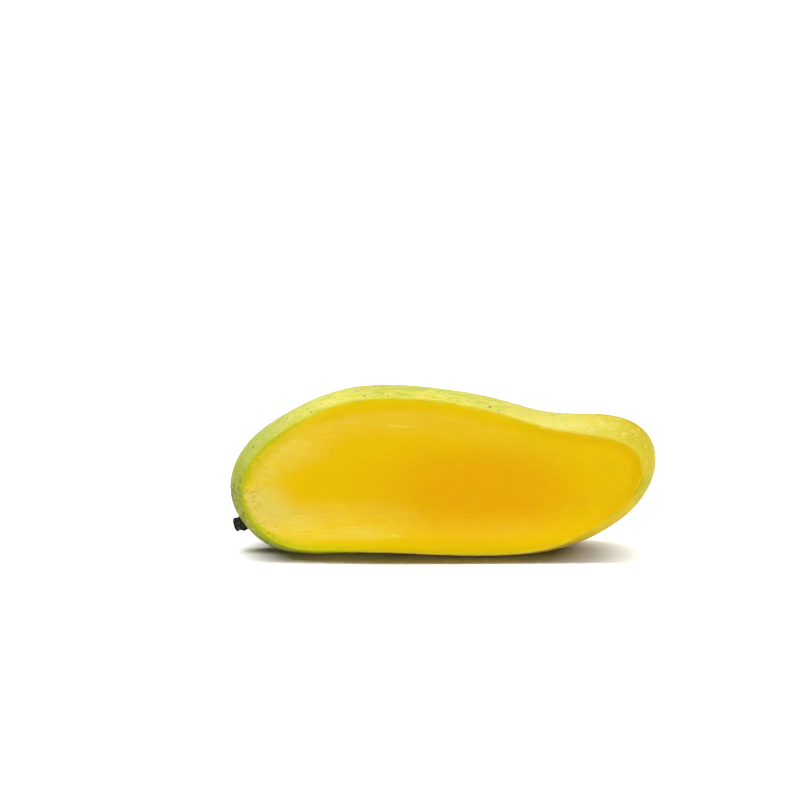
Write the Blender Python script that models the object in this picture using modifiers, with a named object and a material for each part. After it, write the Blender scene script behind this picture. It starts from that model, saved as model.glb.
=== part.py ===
"""A mango with one cheek sliced off, lying on its narrow side, and the stub of its stem.

Metres, +Z up. The fruit's length runs along X, from the stem end at -X to the tip at +X. The cut
face looks towards -Y and leans back a little. The origin is on the surface that the fruit rests
on, below the middle of its outline.
"""

import math

import bmesh
import bpy
import numpy as np
from mathutils import Matrix, Vector

MM = 0.001

# Fruit
FRUIT_LENGTH = 165 * MM
FRUIT_SEGMENTS = 60
FRUIT_RINGS = 46

# The fruit's shape at even stations from the stem end to the tip. An oval section's height and
# thickness are these values times the fullness there, which is that of a round end: 0 at both
# tips and 1 in the middle.
SPINE_HEIGHT = [mm * MM for mm in (-6.7, -5.0, -0.8, 0.5, -0.7, -2.8, -4.5, -1.1, 4.0)]
HALF_HEIGHT = [mm * MM for mm in (44.3, 40.5, 37.0, 34.2, 32.7, 31.9, 31.8, 35.2, 40.2)]
HALF_THICKNESS = [mm * MM for mm in (31.3, 29.4, 28.3, 28.6, 28.4, 27.2, 24.2, 23.1, 31.8)]

# A section's curve is a true oval above the spine and a little squarer below it.
ROUNDNESS_ABOVE = 2.0
ROUNDNESS_BELOW = 2.1

# Cut face and resting place
CUT_FROM_MIDDLE = 10.3 * MM
CUT_BLOCK_DEPTH = 60 * MM
LEAN_BACK = math.radians(5.0)
FLAT_SPOT_DEPTH = 1.9 * MM
FLAT_BLOCK_DEPTH = 20 * MM
BLOCK_MARGIN = 20 * MM

# Stem, measured from where its middle line leaves the skin
STEM_STATION = -0.942
STEM_DROOP = math.radians(17)
STEM_TURN = math.radians(8)
STEM_STEPS = 32
STEM_OUTLINE = [(radius * MM, height * MM) for radius, height in (
    (0.0, 2.5),
    (1.8, 2.6),
    (2.7, 3.0),
    (3.0, 2.6),
    (2.8, 1.7),
    (3.1, 0.8),
    (3.6, 0.0),
    (3.2, -1.6),
    (0.0, -1.6),
)]
SEAT_STEPS = 40
SEAT_CUT_HEIGHT = 9 * MM
FIT_GAP = 0.3 * MM


def smooth_values(values, places):
    """Read a natural cubic spline through values at even stations from -1 to 1."""
    count = len(values)
    step = 2 / (count - 1)
    values = np.array(values)
    system = np.eye(count)
    bend = np.zeros(count)
    for i in range(1, count - 1):
        system[i, i - 1:i + 2] = (1, 4, 1)
        bend[i] = 6 * (values[i - 1] - 2 * values[i] + values[i + 1]) / step**2
    curve = np.linalg.solve(system, bend)

    places = np.clip(places, -1, 1)
    left = np.minimum(((places + 1) / step).astype(int), count - 2)
    b = (places + 1) / step - left
    a = 1 - b
    bow = ((a**3 - a) * curve[left] + (b**3 - b) * curve[left + 1]) * step**2 / 6
    return a * values[left] + b * values[left + 1] + bow


def fruit_points(stations, across, up):
    """Points on the skin at stations along the fruit, in the direction (across, up) from the spine."""
    fullness = np.sqrt(np.clip(1 - stations**2, 0, 1))
    spine = smooth_values(SPINE_HEIGHT, stations)
    half_height = smooth_values(HALF_HEIGHT, stations) * fullness
    half_thickness = smooth_values(HALF_THICKNESS, stations) * fullness
    power = 2 / np.where(up < 0, ROUNDNESS_BELOW, ROUNDNESS_ABOVE)
    return np.column_stack((
        stations * FRUIT_LENGTH / 2,
        half_thickness * np.sign(across) * np.abs(across)**power,
        spine + half_height * np.sign(up) * np.abs(up)**power,
    ))


def make_material(name, color, roughness):
    material = bpy.data.materials.new(name)
    material.use_nodes = True
    shader = material.node_tree.nodes["Principled BSDF"]
    shader.inputs["Base Color"].default_value = (*color, 1)
    shader.inputs["Roughness"].default_value = roughness
    shader.inputs["Metallic"].default_value = 0
    material.diffuse_color = (*color, 1)
    return material


def make_object(name, bm, collection, material):
    mesh = bpy.data.meshes.new(name)
    bm.to_mesh(mesh)
    bm.free()
    mesh.shade_smooth()
    mesh.materials.append(material)
    obj = bpy.data.objects.new(name, mesh)
    collection.objects.link(obj)
    return obj


def make_cutter(name, bm, collection, material):
    cutter = make_object(name, bm, collection, material)
    cutter.hide_render = True
    cutter.display_type = "WIRE"
    return cutter


def make_block(name, low, high, collection, material):
    """A box cutter between two corners."""
    bm = bmesh.new()
    bmesh.ops.create_cube(bm, size=1)
    low, high = Vector(low), Vector(high)
    place = Matrix.Translation((low + high) / 2) @ Matrix.Diagonal((*(high - low), 1))
    bmesh.ops.transform(bm, matrix=place, verts=bm.verts)
    return make_cutter(name, bm, collection, material)


def cut(obj, cutter):
    modifier = obj.modifiers.new(cutter.name, "BOOLEAN")
    modifier.operation = "DIFFERENCE"
    modifier.solver = "EXACT"
    modifier.object = cutter
    modifier.material_mode = "TRANSFER"


def build_fruit(collection, skin):
    """The whole fruit, as a ball drawn out to the skin's shape."""
    bm = bmesh.new()
    bmesh.ops.create_uvsphere(bm, u_segments=FRUIT_SEGMENTS, v_segments=FRUIT_RINGS, radius=1)
    ball = np.array([vert.co for vert in bm.verts])
    around = np.maximum(np.hypot(ball[:, 0], ball[:, 1]), 1e-9)
    points = fruit_points(ball[:, 2], ball[:, 0] / around, ball[:, 1] / around)
    for vert, point in zip(bm.verts, points):
        vert.co = point
    return make_object("fruit", bm, collection, skin)


def build_cheek_cutter(collection, flesh):
    """A block over all that was sliced off in front of the cut face."""
    reach = FRUIT_LENGTH / 2 + BLOCK_MARGIN
    low = (-reach, -CUT_FROM_MIDDLE - CUT_BLOCK_DEPTH, -reach)
    high = (reach, -CUT_FROM_MIDDLE, reach)
    return make_block("cheek_cutter", low, high, collection, flesh)


def build_floor_cutter(collection, skin):
    """A block below the surface, which leaves the flat spot that the fruit rests on."""
    reach = FRUIT_LENGTH / 2 + BLOCK_MARGIN
    low = (-reach, -reach, -FLAT_BLOCK_DEPTH)
    high = (reach, reach, 0)
    return make_block("floor_cutter", low, high, collection, skin)


def stem_placement():
    """Where the stem leaves the skin, with its own +Z along the stem."""
    foot = fruit_points(np.array([STEM_STATION]), np.array([0.0]), np.array([-1.0]))[0]
    outward = Vector((-math.cos(STEM_DROOP) * math.cos(STEM_TURN),
                      math.cos(STEM_DROOP) * math.sin(STEM_TURN),
                      -math.sin(STEM_DROOP)))
    return Matrix.Translation(foot) @ outward.to_track_quat("Z", "Y").to_matrix().to_4x4()


def build_stem_seat(collection, skin):
    """A shallow round socket in the end of the fruit, a little wider and deeper than the stem's root."""
    radius = max(radius for radius, height in STEM_OUTLINE) + FIT_GAP
    floor = min(height for radius, height in STEM_OUTLINE) - FIT_GAP
    depth = SEAT_CUT_HEIGHT - floor
    bm = bmesh.new()
    bmesh.ops.create_cone(bm, cap_ends=True, segments=SEAT_STEPS, radius1=radius, radius2=radius, depth=depth)
    bmesh.ops.translate(bm, verts=bm.verts, vec=(0, 0, floor + depth / 2))
    bmesh.ops.transform(bm, matrix=stem_placement(), verts=bm.verts)
    return make_cutter("stem_seat_cutter", bm, collection, skin)


def build_stem(collection, bark):
    """The stem's outline turned about its middle line: a dished end, a neck, a collar and a root."""
    bm = bmesh.new()
    verts = [bm.verts.new((radius, 0, height)) for radius, height in STEM_OUTLINE]
    for upper, lower in zip(verts, verts[1:]):
        bm.edges.new((upper, lower))
    stem = make_object("stem", bm, collection, bark)
    turn = stem.modifiers.new("turn", "SCREW")
    turn.axis = "Z"
    turn.angle = math.tau
    turn.screw_offset = 0
    turn.steps = STEM_STEPS
    turn.render_steps = STEM_STEPS
    turn.use_merge_vertices = True
    turn.merge_threshold = 0.01 * MM
    turn.use_smooth_shade = True
    stem.matrix_local = stem_placement()
    return stem


def world_corners(obj):
    """Lowest and highest corner of an object, as its modifiers leave it."""
    evaluated = obj.evaluated_get(bpy.context.evaluated_depsgraph_get())
    points = np.array([evaluated.matrix_world @ vert.co for vert in evaluated.data.vertices])
    return points.min(axis=0), points.max(axis=0)


def main():
    for obj in list(bpy.data.objects):
        bpy.data.objects.remove(obj, do_unlink=True)
    parts = bpy.data.collections.new("mango")
    cutters = bpy.data.collections.new("mango_cutters")
    bpy.context.scene.collection.children.link(parts)
    bpy.context.scene.collection.children.link(cutters)

    skin = make_material("skin", (0.66, 0.65, 0.10), 0.38)
    flesh = make_material("flesh", (0.84, 0.51, 0.012), 0.45)
    bark = make_material("stem", (0.035, 0.027, 0.014), 0.8)

    rest = bpy.data.objects.new("mango_rest", None)
    parts.objects.link(rest)
    rest.rotation_euler = (-LEAN_BACK, 0, 0)

    fruit = build_fruit(parts, skin)
    stem = build_stem(parts, bark)
    cheek_cutter = build_cheek_cutter(cutters, flesh)
    stem_seat_cutter = build_stem_seat(cutters, skin)
    for obj in (fruit, stem, cheek_cutter, stem_seat_cutter):
        obj.parent = rest
    bpy.context.view_layer.update()

    lowest = world_corners(fruit)[0][2]
    rest.location.z = -lowest - FLAT_SPOT_DEPTH
    bpy.context.view_layer.update()

    cut(fruit, cheek_cutter)
    cut(fruit, stem_seat_cutter)
    cut(fruit, build_floor_cutter(cutters, skin))
    bpy.context.view_layer.update()

    low, high = world_corners(fruit)
    rest.location.y = -(low[1] + high[1]) / 2
    bpy.context.view_layer.update()


main()
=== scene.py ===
"""A mango with one cheek cut away: its peel, the dots on it, its cut flesh and its stem, on a pale floor.

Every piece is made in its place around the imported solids, in metres. The fruit's own shape is given
at even stations along its length, and is leaned back and set down as the solid is.
"""

import math

import bmesh
import bpy
import numpy as np
from bpy.props import FloatProperty, FloatVectorProperty, PointerProperty
from mathutils import Matrix, Vector, kdtree, noise


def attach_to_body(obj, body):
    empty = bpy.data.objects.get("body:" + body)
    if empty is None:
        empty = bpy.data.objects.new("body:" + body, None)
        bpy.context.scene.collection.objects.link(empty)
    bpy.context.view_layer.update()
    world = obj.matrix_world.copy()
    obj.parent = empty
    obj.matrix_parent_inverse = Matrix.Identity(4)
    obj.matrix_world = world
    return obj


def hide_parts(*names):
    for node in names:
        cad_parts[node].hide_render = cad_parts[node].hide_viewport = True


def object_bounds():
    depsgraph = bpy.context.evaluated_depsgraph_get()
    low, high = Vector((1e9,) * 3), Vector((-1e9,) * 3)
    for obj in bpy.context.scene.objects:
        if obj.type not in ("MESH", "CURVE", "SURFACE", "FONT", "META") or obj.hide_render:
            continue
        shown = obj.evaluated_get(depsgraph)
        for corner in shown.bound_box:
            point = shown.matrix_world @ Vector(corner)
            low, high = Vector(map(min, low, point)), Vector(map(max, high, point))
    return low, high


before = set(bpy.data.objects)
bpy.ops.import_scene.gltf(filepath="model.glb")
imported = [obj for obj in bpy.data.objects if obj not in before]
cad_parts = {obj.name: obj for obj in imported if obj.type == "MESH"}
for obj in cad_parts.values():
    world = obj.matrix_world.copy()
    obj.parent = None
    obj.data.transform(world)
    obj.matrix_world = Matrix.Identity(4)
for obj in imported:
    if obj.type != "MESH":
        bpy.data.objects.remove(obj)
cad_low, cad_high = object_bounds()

bl_info = {
    "name": "Cut mango",
    "version": (1, 0, 0),
    "blender": (4, 5, 0),
    "location": "3D View > Sidebar > Mango",
    "description": "Dresses a cut mango with its peel, flesh, dots and stem",
    "category": "Object",
}

MM = 0.001

# The fruit's shape at even stations from the stem end to the tip, before the fullness of its ends
SPINE_HEIGHT = [mm * MM for mm in (-6.7, -5.0, -0.8, 0.5, -0.7, -2.8, -4.5, -1.1, 4.0)]
HALF_HEIGHT = [mm * MM for mm in (44.3, 40.5, 37.0, 34.2, 32.7, 31.9, 31.8, 35.2, 40.2)]
HALF_THICKNESS = [mm * MM for mm in (31.3, 29.4, 28.3, 28.6, 28.4, 27.2, 24.2, 23.1, 31.8)]
ROUNDNESS_ABOVE = 2.0
ROUNDNESS_BELOW = 2.1
HALF_LENGTH = (cad_high.x - cad_low.x) / 2
CUT_FROM_MIDDLE = 10.3 * MM
LEAN_BACK = math.radians(5.0)
FLOOR_EASE = 0.4 * MM

# How finely the shape is sampled to find its highest point and the ends of the cut
SHAPE_SAMPLES = 401
TURN_SAMPLES = 361
CUT_SAMPLES = 40001

# Columns and rows of the pieces' grids
END_COLUMNS = 26
CUT_COLUMNS = 300
OPENED = slice(END_COLUMNS, END_COLUMNS + CUT_COLUMNS + 1)
SKIN_ROWS = 180
WALL_ROWS = 44
FACE_ROWS = 250
STEM_COLUMNS = 112
STEM_ROWS_PER_STEP = 9

# Length of the straightened skin for each radian, and height of the straightened cut face
SKIN_GRAIN = 60 * MM
FACE_GRAIN = 60 * MM

# Where the stem leaves the skin, its outline from the dished end down to the root, and the hollow round it
STEM_STATION = -0.942
STEM_DROOP = math.radians(17)
STEM_TURN = math.radians(8)
STEM_OUTLINE = [(radius * MM, height * MM) for radius, height in (
    (0.0, 2.5),
    (1.8, 2.6),
    (2.7, 3.0),
    (3.0, 2.6),
    (2.8, 1.7),
    (3.1, 0.8),
    (3.6, 0.0),
    (3.2, -1.6),
)]
HOLLOW_RADIUS = 5.5 * MM
HOLLOW_DEPTH = 0.5 * MM

# The photo's frame
IMAGE_SIZE = 800
FRUIT_MIDDLE_PIXEL = (443, 470)
PIXELS_PER_METRE = 2588
SENSOR_WIDTH = 36

# Where the long lamps hang, for each metre of their height, and the colour of the light in the shadow
LAMP_PLACE = (0.197, 0.196, 1)
WARM = (1, 0.62, 0.2)


def shade(red, green, blue):
    """A colour given in eight-bit steps, as the light values that shaders use."""
    steps = [value / 255 for value in (red, green, blue)]
    return tuple(s / 12.92 if s <= 0.04045 else ((s + 0.055) / 1.055) ** 2.4 for s in steps)


def length_prop(description, default, smallest, largest):
    return FloatProperty(description=description, default=default, min=smallest, max=largest,
                         unit="LENGTH", precision=5)


def color_prop(description, red, green, blue):
    return FloatVectorProperty(description=description, default=shade(red, green, blue),
                               min=0, max=1, size=3, subtype="COLOR")


def factor_prop(description, default, largest=1):
    return FloatProperty(description=description, default=default, min=0, max=largest)


def angle_prop(description, degrees):
    return FloatProperty(description=description, default=math.radians(degrees), subtype="ANGLE")


class MangoSizes(bpy.types.PropertyGroup):
    """Sizes of the mango's pieces."""

    peel_inset: length_prop("How far the skin lies inside the solid", 0.00012, 0, 0.001)
    peel_thickness: length_prop("Wall of the peel at the cut", 0.0007, 0.0003, 0.003)
    torn_edge: factor_prop("How far the peel's edge is torn, as a share of its wall", 0.4)
    flesh_gap: length_prop("Room between the peel and the flesh", 0.00001, 0, 0.001)
    skin_waves: length_prop("Height of the skin's broad unevenness", 0.0003, 0, 0.002)
    cut_waves: length_prop("Depth of the knife's broad waves", 0.00030, 0, 0.002)
    fiber_depth: length_prop("Depth of the fibres in the cut face", 0.00007, 0, 0.001)
    pore_depth: length_prop("Depth of the pores near the stem end", 0.00025, 0, 0.001)
    dot_radius: length_prop("Radius of a large dark dot", 0.00060, 0.0001, 0.002)
    dot_height: length_prop("How far a dot stands out", 0.00004, 0, 0.001)
    pale_dot_radius: length_prop("Radius of a large pale dot", 0.00022, 0.0001, 0.002)


class MangoColors(bpy.types.PropertyGroup):
    """Colours of the mango's pieces."""

    stem_end: color_prop("Skin near the stem", 198, 202, 88)
    shoulder: color_prop("Skin behind the stem end", 246, 234, 100)
    body: color_prop("Skin along the middle", 243, 229, 86)
    tip: color_prop("Skin at the tip", 222, 190, 20)
    mottle: color_prop("Green patches and streaks in the skin", 184, 204, 66)
    blush: color_prop("Skin low down and at the back", 242, 198, 34)
    bloom: color_prop("Pale waxy patches on the skin", 240, 228, 128)
    dot: color_prop("Dark dots on the skin", 146, 136, 44)
    pale_dot: color_prop("Small pale dots on the skin", 233, 227, 130)
    flesh: color_prop("Ripe flesh", 240, 197, 2)
    flesh_heart: color_prop("Deeper flesh in the middle", 237, 177, 2)
    flesh_pale: color_prop("Paler, more fibrous flesh", 243, 218, 88)
    flesh_rim: color_prop("Flesh just inside the peel", 235, 200, 2)
    lemon: color_prop("Thin lemon-yellow flesh along the peel", 232, 210, 8)
    unripe: color_prop("Greenish flesh near the stem end", 190, 190, 6)
    bark: color_prop("The stem's bark", 17, 15, 11)
    bark_light: color_prop("Worn ridges on the stem", 112, 107, 88)
    floor: color_prop("The pale floor", 205, 205, 204)


class MangoStage(bpy.types.PropertyGroup):
    """Camera, lights and floor."""

    distance: length_prop("From the camera to the fruit's middle", 1.0, 0.2, 10)
    elevation: angle_prop("How far down the camera looks", 17)
    sky: factor_prop("Strength of the even light from all round", 0.05, 10)
    key: factor_prop("Strength of the long lamp above and behind", 7.1, 50)
    floor_key: factor_prop("Strength of the extra light on the floor", 8.6, 50)
    floor_glow: factor_prop("Strength of floor light that doesn't reach the fruit", 17.0, 50)
    lamp_height: length_prop("How high the long lamps hang", 6.0, 1, 100)
    lamp_length: length_prop("Length of the long lamps", 22.7, 0.1, 100)
    lamp_width: length_prop("Width of the long lamps", 0.3, 0.01, 10)
    front_fill: factor_prop("Strength of the level light in front of the fruit", 2.2, 20)
    fill_spread: angle_prop("How wide the fruit's own lights are", 70)
    back_fill: factor_prop("Strength of the light behind the fruit", 0.4, 20)
    floor_fill: factor_prop("Strength of the warm light in the fruit's shadow", 0.36, 20)
    floor_fill_spread: angle_prop("How wide the warm light is", 20)
    floor_size: length_prop("Across the floor", 12.0, 1, 100)


# The fruit's shape

def smooth_values(values, places):
    """Read a natural cubic spline through values at even stations from -1 to 1."""
    count = len(values)
    step = 2 / (count - 1)
    values = np.array(values)
    system = np.eye(count)
    bend = np.zeros(count)
    for i in range(1, count - 1):
        system[i, i - 1:i + 2] = (1, 4, 1)
        bend[i] = 6 * (values[i - 1] - 2 * values[i] + values[i + 1]) / step**2
    curve = np.linalg.solve(system, bend)

    places = np.clip(places, -1, 1)
    left = np.minimum(((places + 1) / step).astype(int), count - 2)
    b = (places + 1) / step - left
    a = 1 - b
    bow = ((a**3 - a) * curve[left] + (b**3 - b) * curve[left + 1]) * step**2 / 6
    return a * values[left] + b * values[left + 1] + bow


def section_sizes(stations, inset):
    """Spine height, half height and half thickness at stations, for a surface that deep below the skin."""
    fullness = np.sqrt(np.clip(1 - stations**2, 0, 1))
    spine = smooth_values(SPINE_HEIGHT, stations)
    half_height = (smooth_values(HALF_HEIGHT, stations) - inset) * fullness
    half_thickness = (smooth_values(HALF_THICKNESS, stations) - inset) * fullness
    return spine, half_height, half_thickness


def fruit_points(stations, angles, inset):
    """Points of a surface that deep below the skin. Angle 0 is at the back, a quarter turn at the top."""
    spine, half_height, half_thickness = section_sizes(stations, inset)
    across = np.cos(angles)
    up = np.sin(angles)
    power = 2 / np.where(up < 0, ROUNDNESS_BELOW, ROUNDNESS_ABOVE)
    x = stations * (HALF_LENGTH - inset)
    y = half_thickness * np.sign(across) * np.abs(across)**power
    z = spine + half_height * np.sign(up) * np.abs(up)**power
    return np.stack(np.broadcast_arrays(x, y, z), axis=-1)


def leaned(points):
    """Points turned back about the fruit's length."""
    y = points[..., 1] * math.cos(LEAN_BACK) + points[..., 2] * math.sin(LEAN_BACK)
    z = points[..., 2] * math.cos(LEAN_BACK) - points[..., 1] * math.sin(LEAN_BACK)
    return np.stack((points[..., 0], y, z), axis=-1)


def find_place():
    """How far the leaned fruit is moved, so that its back and its top meet the solid's."""
    stations = np.linspace(-1, 1, SHAPE_SAMPLES)[:, None]
    angles = np.linspace(0, math.pi, TURN_SAMPLES)[None, :]
    highest = leaned(fruit_points(stations, angles, 0)).reshape(-1, 3).max(axis=0)
    return np.array((0, cad_high.y - highest[1], cad_high.z - highest[2]))


PLACE = find_place()


def set_down(points, floor):
    """Points leaned and in place, eased flat where they would pass below the given height."""
    placed = leaned(points) + PLACE
    above = placed[..., 2] - floor
    placed[..., 2] = floor + (above + np.sqrt(above**2 + FLOOR_EASE**2)) / 2
    return placed


def opened_stations(inset):
    """The stations between which the cut plane opens a surface that deep below the skin."""
    stations = np.linspace(-1, 1, CUT_SAMPLES)
    open_there = stations[section_sizes(stations, inset)[2] > CUT_FROM_MIDDLE]
    return open_there[0], open_there[-1]


def column_stations(inset):
    """Stations of a surface's columns: a closed end, the part that the cut opens, and the other end."""
    first, last = opened_stations(inset)
    end = np.linspace(0, 1, END_COLUMNS + 1)
    near = -np.cos(end * math.acos(-first))
    far = np.cos(end * math.acos(last))[::-1]
    along = np.linspace(0, 1, CUT_COLUMNS + 1)
    rounded = (1 - np.cos(math.pi * along)) / 2
    middle = first + (last - first) * (rounded + along) / 2
    return np.concatenate((near[:-1], middle, far[1:]))


def kept_surface(inset, rows):
    """A surface that deep below the skin without its cut-off cheek, as a grid of points.

    Row 0 runs along the upper edge of the cut and the last row along the lower edge. In the closed
    ends, and in the first and last column of the cut, both rows run along the same line.
    """
    stations = column_stations(inset)
    width = section_sizes(stations, inset)[2]
    share = np.clip(CUT_FROM_MIDDLE / np.maximum(width, 1e-9), 0, 1)
    share[[END_COLUMNS, END_COLUMNS + CUT_COLUMNS]] = 1
    top = math.pi - np.arccos(share**(ROUNDNESS_ABOVE / 2))
    bottom = math.pi - np.arccos(share**(ROUNDNESS_BELOW / 2))
    step = np.linspace(0, 1, rows + 1)[None, :]
    angles = top[:, None] * (1 - step) - bottom[:, None] * step
    return fruit_points(stations[:, None], angles, inset)


def skin_grain(points):
    """Each point's place on a straightened fruit, whose first axis runs along the length."""
    stations = np.clip(points[..., 0] / HALF_LENGTH, -1, 1)
    spine = smooth_values(SPINE_HEIGHT, stations.reshape(-1)).reshape(stations.shape)
    along = np.arccos(-stations) * SKIN_GRAIN
    return np.stack((along, points[..., 1], points[..., 2] - spine), axis=-1)


def grid_faces(columns, rows, start):
    """Four-sided faces between neighbouring points of a grid whose first point has the index start."""
    index = start + np.arange(columns * rows).reshape(columns, rows)
    corners = (index[:-1, :-1], index[:-1, 1:], index[1:, 1:], index[1:, :-1])
    return np.stack(corners, axis=-1).reshape(-1, 4)


def grid_normals(points):
    """Directions square to a grid of points."""
    along = np.gradient(points, axis=0)
    around = np.gradient(points, axis=1)
    normal = np.cross(along, around)
    length = np.linalg.norm(normal, axis=-1, keepdims=True)
    return normal / np.maximum(length, 1e-15)


def noise_at(points, size, seed, octaves=1):
    """Smooth noise from about -1 to 1 with bumps of the given size, which may differ along X, Y and Z."""
    scaled = points / np.array(size) + seed
    flat = scaled.reshape(-1, 3)
    if octaves == 1:
        values = [noise.noise(Vector(p)) for p in flat]
    else:
        values = [noise.fractal(Vector(p), 1.0, 2.0, octaves) for p in flat]
    return np.array(values).reshape(points.shape[:-1])


def smooth_step(values, low, high):
    t = np.clip((values - low) / (high - low), 0, 1)
    return t * t * (3 - 2 * t)


# Meshes and objects

def make_piece(name, points, faces, materials, layers, face_materials=None, sharp_angle=35):
    """A closed piece from points and faces, with its seams and poles merged and its faces outwards."""
    mesh = bpy.data.meshes.new(name)
    mesh.from_pydata(points.tolist(), [], faces)
    for layer, values in layers.items():
        kind, field = ("FLOAT", "value") if values.ndim == 1 else ("FLOAT_VECTOR", "vector")
        attribute = mesh.attributes.new(layer, kind, "POINT")
        attribute.data.foreach_set(field, values.astype(np.float32).reshape(-1))
    if face_materials is not None:
        mesh.polygons.foreach_set("material_index", face_materials)
    bm = bmesh.new()
    bm.from_mesh(mesh)
    bmesh.ops.remove_doubles(bm, verts=bm.verts, dist=1e-6)
    bmesh.ops.dissolve_degenerate(bm, edges=bm.edges, dist=1e-7)
    bmesh.ops.recalc_face_normals(bm, faces=bm.faces)
    bm.to_mesh(mesh)
    bm.free()
    for material in materials:
        mesh.materials.append(material)
    mesh.shade_smooth()
    mesh.set_sharp_from_angle(angle=math.radians(sharp_angle))
    piece = bpy.data.objects.new(name, mesh)
    bpy.context.scene.collection.objects.link(piece)
    return piece


def attach(piece, node):
    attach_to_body(piece, "root")
    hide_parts(node)


class Value:
    """What a node gives, for plain arithmetic with numbers and other values."""

    def __init__(self, nodes, socket):
        self.nodes = nodes
        self.socket = socket

    def __add__(self, other):
        return self.nodes.math("ADD", self, other)

    def __sub__(self, other):
        return self.nodes.math("SUBTRACT", self, other)

    def __rsub__(self, other):
        return self.nodes.math("SUBTRACT", other, self)

    def __mul__(self, other):
        return self.nodes.math("MULTIPLY", self, other)

    def __truediv__(self, other):
        return self.nodes.math("DIVIDE", self, other)

    def __pow__(self, other):
        return self.nodes.math("POWER", self, other)

    def fade(self, low, high, start=0, end=1):
        """A smooth change from start to end as the value goes from low to high."""
        inputs = {"Value": self, "From Min": low, "From Max": high, "To Min": start, "To Max": end}
        return self.nodes.value("ShaderNodeMapRange", 0, inputs, interpolation_type="SMOOTHSTEP")

    def span(self, low, high, start=0, end=1):
        """A fade between two places in millimetres."""
        return self.fade(low * MM, high * MM, start, end)

    def mixed(self, factor, color, blend="MIX"):
        return self.nodes.mix(factor, self, color, blend)


class Nodes:
    """A node tree, with short calls for making its nodes."""

    def __init__(self, tree):
        self.tree = tree

    def join(self, socket, value):
        """Give a socket a number, a colour or what another node gives."""
        if isinstance(value, Value):
            value = value.socket
        if isinstance(value, bpy.types.NodeSocket):
            self.tree.links.new(value, socket)
        elif socket.type == "RGBA":
            socket.default_value = (*value, 1)
        else:
            socket.default_value = value

    def node(self, kind, inputs, **settings):
        """A new node, with its settings first and then its inputs by name or number."""
        made = self.tree.nodes.new(kind)
        for name, setting in settings.items():
            setattr(made, name, setting)
        for name, value in inputs.items():
            self.join(made.inputs[name], value)
        return made

    def value(self, kind, output, inputs, **settings):
        """What a new node gives at one of its outputs."""
        return Value(self, self.node(kind, inputs, **settings).outputs[output])

    def math(self, operation, *values):
        return self.value("ShaderNodeMath", 0, dict(enumerate(values)), operation=operation)


class Shader(Nodes):
    """A material's nodes, with a short call for each kind that the finishes use."""

    def __init__(self, name):
        self.material = bpy.data.materials.new(name)
        self.material.use_nodes = True
        super().__init__(self.material.node_tree)
        self.surface = self.tree.nodes["Principled BSDF"]
        self.place = self.value("ShaderNodeTexCoord", "Object", {})

    def axis(self, name):
        return self.value("ShaderNodeSeparateXYZ", name, {0: self.place})

    def attribute(self, name, output="Fac"):
        return self.value("ShaderNodeAttribute", output, {}, attribute_name=name)

    def gray(self, value):
        return self.value("ShaderNodeCombineColor", 0, {0: value, 1: value, 2: value})

    def distance_from(self, place):
        return self.value("ShaderNodeVectorMath", "Value", {0: self.place, 1: place}, operation="DISTANCE")

    def stretched(self, stretch, offset, source=None):
        inputs = {"Vector": source or self.place, "Scale": stretch, "Location": offset}
        return self.value("ShaderNodeMapping", 0, inputs)

    def noise(self, scale, detail=2, stretch=(1, 1, 1), offset=(0, 0, 0), source=None, distortion=0,
              roughness=0.5):
        return self.value("ShaderNodeTexNoise", "Fac", {
            "Vector": self.stretched(stretch, offset, source), "Scale": scale, "Detail": detail,
            "Distortion": distortion, "Roughness": roughness})

    def cells(self, scale, offset):
        """Distance to the nearest of many scattered points."""
        inputs = {"Vector": self.stretched((1, 1, 1), offset), "Scale": scale}
        return self.value("ShaderNodeTexVoronoi", "Distance", inputs)

    def mix(self, factor, first, second, blend="MIX"):
        inputs = {"Factor": factor, "A": first, "B": second}
        return self.value("ShaderNodeMix", "Result", inputs, data_type="RGBA", blend_type=blend)

    def ramp(self, factor, stops):
        made = self.node("ShaderNodeValToRGB", {0: factor})
        made.color_ramp.interpolation = "EASE"
        elements = made.color_ramp.elements
        while len(elements) < len(stops):
            elements.new(0.5)
        for element, (position, color) in zip(elements, stops):
            element.position = position
            element.color = (*color, 1)
        return Value(self, made.outputs[0])

    def bump(self, height, distance, strength, under=None):
        inputs = {"Height": height, "Distance": distance, "Strength": strength}
        if under is not None:
            inputs["Normal"] = under
        return self.value("ShaderNodeBump", 0, inputs)

    def finish(self, color, roughness, **others):
        """The material, with the surface's other sockets by their names. Plain numbers are set on them."""
        for name, value in dict(Base_Color=color, Roughness=roughness, **others).items():
            self.join(self.surface.inputs[name.replace("_", " ")], value)
        return self.material


# Finishes. Each span along the fruit (x), above the floor (z) or from the rim is in millimetres.

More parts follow.
